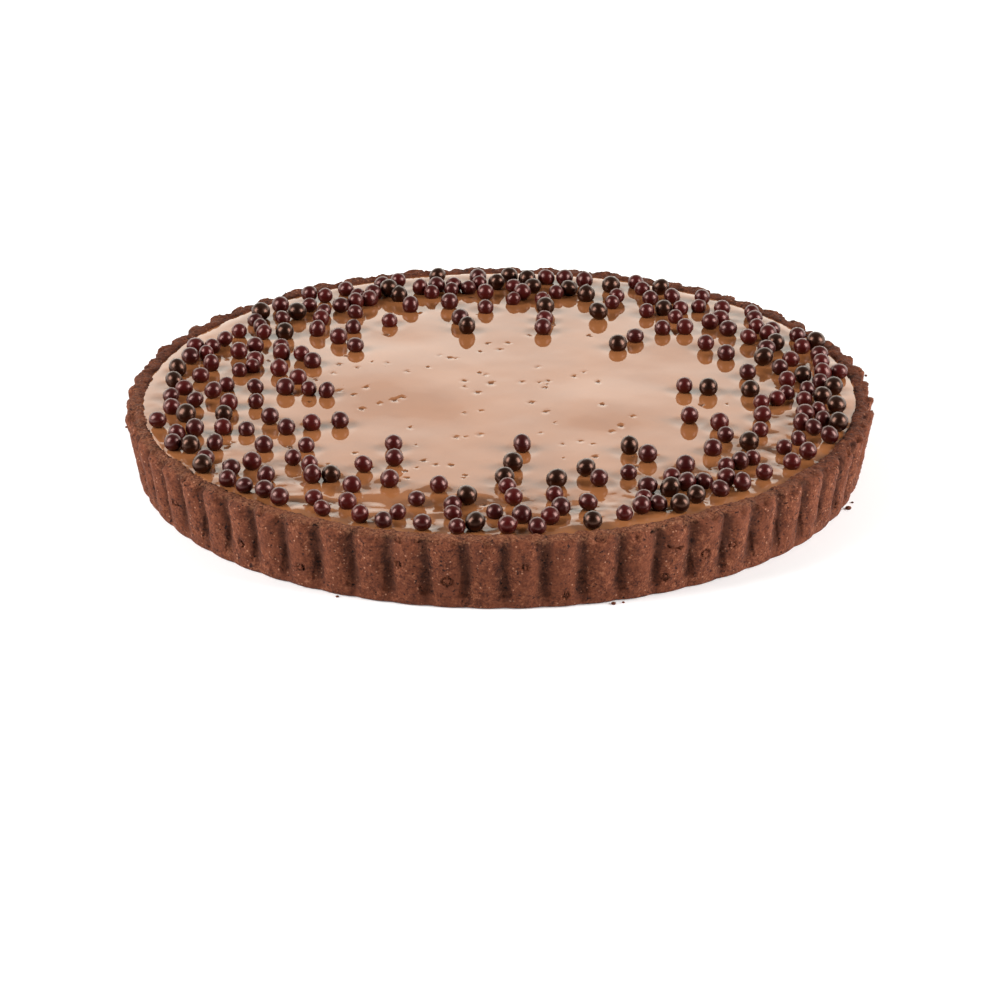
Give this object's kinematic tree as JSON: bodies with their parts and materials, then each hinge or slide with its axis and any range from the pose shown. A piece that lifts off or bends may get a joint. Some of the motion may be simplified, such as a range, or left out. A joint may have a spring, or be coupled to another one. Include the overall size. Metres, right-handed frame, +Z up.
{
  "type": "chocolate tart",
  "caption": "Round fluted chocolate tart: a shallow cocoa shortcrust shell filled level with glossy chocolate cream and ringed with chocolate pearls.",
  "frame": {"origin": "centre of the underside of the pastry shell, on the surface the tart stands on", "axes": "+Z up through the centre of the tart; the tart is round, with a groove between two flutes facing -Y"},
  "size_m": [0.2496, 0.2496, 0.024],
  "materials": {
    "cocoa_crust": "baked cocoa shortcrust, dull and grainy",
    "chocolate_cream": "set milk chocolate cream, mirror glossy"
  },
  "bodies": {
    "root": {"crust": "cocoa_crust", "filling": "chocolate_cream"}
  },
  "joints": []
}
